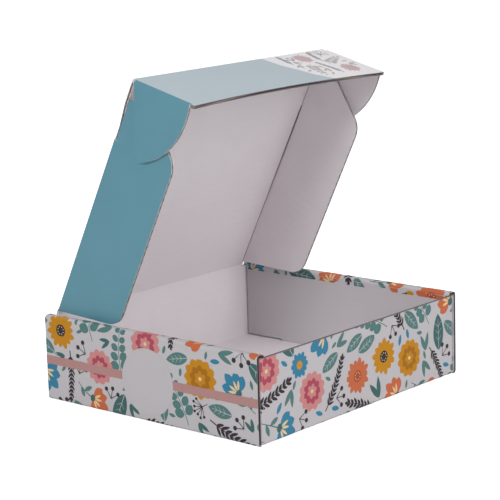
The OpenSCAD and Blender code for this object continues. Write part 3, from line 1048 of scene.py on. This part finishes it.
def creaseSolid(place, ends, dirA, outA, dirB, outB, inner, outer, reachA, reachB, faces, shadedParts=0):
    # the section of a fold: an arc about the crease on the outside, a scored corner on the inside, where the
    # corner and the last argument's count of each leg's six parts take the last face, painted crease shade on
    # the side creases
    dirA, outA, dirB, outB = (np.array(v, float) for v in (dirA, outA, dirB, outB))
    turn = np.arctan2(outA[0] * outB[1] - outA[1] * outB[0], outA @ outB)
    angle = np.arctan2(outA[1], outA[0]) + turn * np.linspace(0, 1, 13)
    arc = outer * np.stack([np.cos(angle), np.sin(angle)], 1)
    outside = np.array([dirA * reachA + outA * outer, *arc, dirB * reachB + outB * outer])
    corner = inner * (outA + outB) / (1 + outA @ outB)
    far = (dirA * reachA + outA * inner, dirB * reachB + outB * inner)
    s = np.linspace(0, 1, 7)[:, None]
    inside = np.concatenate([far[0] + (corner - far[0]) * s, [corner], corner + (far[1] - corner) * s])
    inside[6:9] += (outA + outB) / np.linalg.norm(outA + outB) * groove

    def sweep(section):
        e, f = (np.repeat(section[:, None, k], 2, 1) for k in (0, 1))
        r = np.repeat(np.array([ends], float), len(section), 0)
        around = np.linspace(0, 0.05, len(section))[:, None] + 0 * r
        return place(r, e, f), np.stack([r / 100, around], -1)

    out, inn = sweep(outside), sweep(inside)
    solid = [(*out, faces[0])]
    parts = ((0, 7 - shadedParts, faces[1]), (6 - shadedParts, 9 + shadedParts, faces[-1]), (8 + shadedParts, 15, faces[1]))
    solid += [(inn[0][first:last], inn[1][first:last], face) for first, last, face in parts]
    for pick, axis in ((np.s_[0:1, :], 0), (np.s_[-1:, :], 0), (np.s_[:, 0:1], 1), (np.s_[:, -1:], 1)):
        solid.append((*(np.concatenate([out[k][pick], inn[k][pick]], axis) for k in (0, 1)), faces[2]))
    return solid


bendReach = 0.6  # how far from the crease the two end points are put, in millimetres; nothing uses them further


def crease(name, solids, materials, place, at, dirA, dirB):
    # a crease piece with no body, baked where it stands; its two end points are worked out and not used
    piece = makePiece(name, solids, materials, None, sharp=0.7)
    ends = [place(np.array(at), *(np.array(k * bendReach) for k in d)) * mm for d in (dirA, dirB)]
    tuple(ends[0])
    tuple(ends[1])
    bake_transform(piece)


def hingePlane(x, e, f):
    return np.stack([x, hingeY + e, hingeZ + f], -1)


def frontPlane(x, e, f):
    return standLid(x, -tuckU - e, f)


def sidePlane(side):
    return lambda u, e, f: standLid(side * (flapX + e), -u, f - bead)


def earPlane(side):
    return lambda w, e, f: standTuck(side * (earX + e), -f, -w)


lidDir, lidOut = (-np.cos(lidTilt), np.sin(lidTilt)), (np.sin(lidTilt), np.cos(lidTilt))
tuckRad = np.radians(box["tuckAngle"])
tuckDir, tuckOut = (-np.cos(tuckRad), -np.sin(tuckRad)), (np.sin(tuckRad), -np.cos(tuckRad))
hingeReach = hingeZ - wallTop

hingeSolid = creaseSolid(hingePlane, (-hingeHalf, hingeHalf), (0, -1), (1, 0), lidDir, lidOut, -bead, bead,
                         hingeReach, reach, (0, 1, 2, 1))
crease("hingeCrease", [hingeSolid], [whitePrint, plainLiner, cutLiner], hingePlane,
       0, (0, -1), lidDir)
# the outer face: the paler teal, partly painted sheen, on the left part, and the lighter-painted field white
# on the right
frontSolids = [
    creaseSolid(frontPlane, ends, (-1, 0), (0, 1), tuckDir, tuckOut, -bead, bead, reach, reach, faces)
    for ends, faces in (((-lidHalf, fieldX), (0, 1, 2, 1)), ((fieldX, lidHalf), (3, 1, 2, 1)))
]
crease("frontCrease", frontSolids, [paleTealPrintAndSheen, plainLiner, cutLiner, sidePrint[1]],
       frontPlane, 0, (-1, 0), tuckDir)
for side, word in ((-1, "left"), (1, "right")):
    # the side creases carry painted crease shade on the inside of the fold
    faces = [sidePrint[side], plainLiner, cutLiner, paintedCreaseShade]
    solid = creaseSolid(sidePlane(side), (box["sideStart"], sideEnd), (-1, 0), (0, 1), (0, -1), (1, 0), 0,
                        box["board"], reachSide, reachSide, (0, 1, 2, 3), shadedParts=3)
    crease(word + "SideCrease", [solid], faces, sidePlane(side), 80,
           (-1, 0), (0, -1))
    solid = creaseSolid(earPlane(side), (box["earTop"], earEnd), (-1, 0), (0, 1), (0, -1), (1, 0), -bead,
                        bead, reachEar, reachEar, (0, 1, 2, 1))
    crease(word + "EarCrease", [solid], faces[:3], earPlane(side), 30,
           (-1, 0), (0, -1))
print("creases made")


# Stage, light and camera

# The floor lies floorDrop below the board, so that the two never share a plane; lift is its own light, which
# only the camera sees
stageLook = dict(floorSize=8.0, floorColour=srgb(235, 235, 236), floorDrop=0.0002, lift=0.76, skyStrength=0.3,
                 lampTarget=(0, 0, 0.1))
# name, place and size in metres, power
lamps = [
    ("leftSoft", (-1.9, -0.5, 1.3), 0.8, 22.0), ("lowSoft", (0.1, -2.1, 0.85), 1.4, 14.0),
    ("highSoft", (-0.2, -1.7, 1.7), 1.4, 10.0), ("backSoft", (0.5, 2.0, 1.1), 1.4, 12.0),
]


def makeStage():
    floor = bpy.data.meshes.new("floor")
    h, z = stageLook["floorSize"] / 2, -stageLook["floorDrop"]
    floor.from_pydata([(-h, -h, z), (h, -h, z), (h, h, z), (-h, h, z)], [], [(0, 1, 2, 3)])
    piece = bpy.data.objects.new("floor", floor)
    scene.collection.objects.link(piece)
    material, tree, shader = nodeMaterial("paleFloor")
    shader.inputs["Base Color"].default_value = (*stageLook["floorColour"], 1)
    shader.inputs["Roughness"].default_value = 0.9
    shader.inputs["Emission Color"].default_value = (1, 1, 1, 1)
    path = tree.nodes.new("ShaderNodeLightPath")
    lift = mathNode(tree, "MULTIPLY", path.outputs["Is Camera Ray"], stageLook["lift"])
    tree.links.new(lift, shader.inputs["Emission Strength"])
    floor.materials.append(material)


def makeWorld():
    # an even sky: dim as a light, white where the camera looks at it
    world = bpy.data.worlds.new("studio")
    scene.world = world
    world.use_nodes = True
    nodes, links = world.node_tree.nodes, world.node_tree.links
    background = nodes["Background"]
    background.inputs["Color"].default_value = (1, 1, 1, 1)
    path = nodes.new("ShaderNodeLightPath")
    pick = nodes.new("ShaderNodeMix")
    pick.data_type = "FLOAT"
    pick.inputs["A"].default_value = stageLook["skyStrength"]
    pick.inputs["B"].default_value = 1.0
    links.new(path.outputs["Is Camera Ray"], pick.inputs["Factor"])
    links.new(pick.outputs["Result"], background.inputs["Strength"])


def axes(back):
    # right, up and back of something that looks away from back
    back = back / np.linalg.norm(back)
    right = np.cross((0, 0, 1), back)
    right /= np.linalg.norm(right)
    return right, np.cross(back, right), back


def standing(right, up, back, place):
    matrix = np.eye(4)
    matrix[:3, :3] = np.column_stack([right, up, back])
    matrix[:3, 3] = place
    return Matrix(matrix.tolist())


def areaLight(name, place, size, power):
    light = bpy.data.lights.new(name, "AREA")
    light.shape, light.size, light.energy = "DISK", size, power
    lamp = bpy.data.objects.new(name, light)
    lamp.matrix_world = standing(*axes(np.array(place, float) - np.array(stageLook["lampTarget"])), place)
    scene.collection.objects.link(lamp)


cameraFit = dict(azimuth=-48.979, elevation=11.9135, distance=1.4617, target=(0, 0, 0.069), across=-0.0019,
                 upward=0.0338, roll=-1.6056, lens=141.99)


def makeCamera():
    # back = from target to camera; the camera slides across and up, then rolls
    az, el, r = (np.radians(cameraFit[k]) for k in ("azimuth", "elevation", "roll"))
    right, up, back = axes(np.array([np.sin(az) * np.cos(el), -np.cos(az) * np.cos(el), np.sin(el)]))
    right, up = np.cos(r) * right + np.sin(r) * up, np.cos(r) * up - np.sin(r) * right
    data = bpy.data.cameras.new("photoView")
    data.lens, data.sensor_width, data.sensor_fit = cameraFit["lens"], 36, "HORIZONTAL"
    data.clip_start, data.clip_end = 0.05, 50
    camera = bpy.data.objects.new("photoView", data)
    place = (np.array(cameraFit["target"]) + back * cameraFit["distance"] + right * cameraFit["across"]
             + up * cameraFit["upward"])
    camera.matrix_world = standing(right, up, back, place)
    scene.collection.objects.link(camera)
    scene.camera = camera


makeStage()
makeWorld()
for name, place, size, power in lamps:
    areaLight(name, place, size, power)
makeCamera()
scene.view_settings.view_transform = "Standard"
print("stage, lights and camera made")
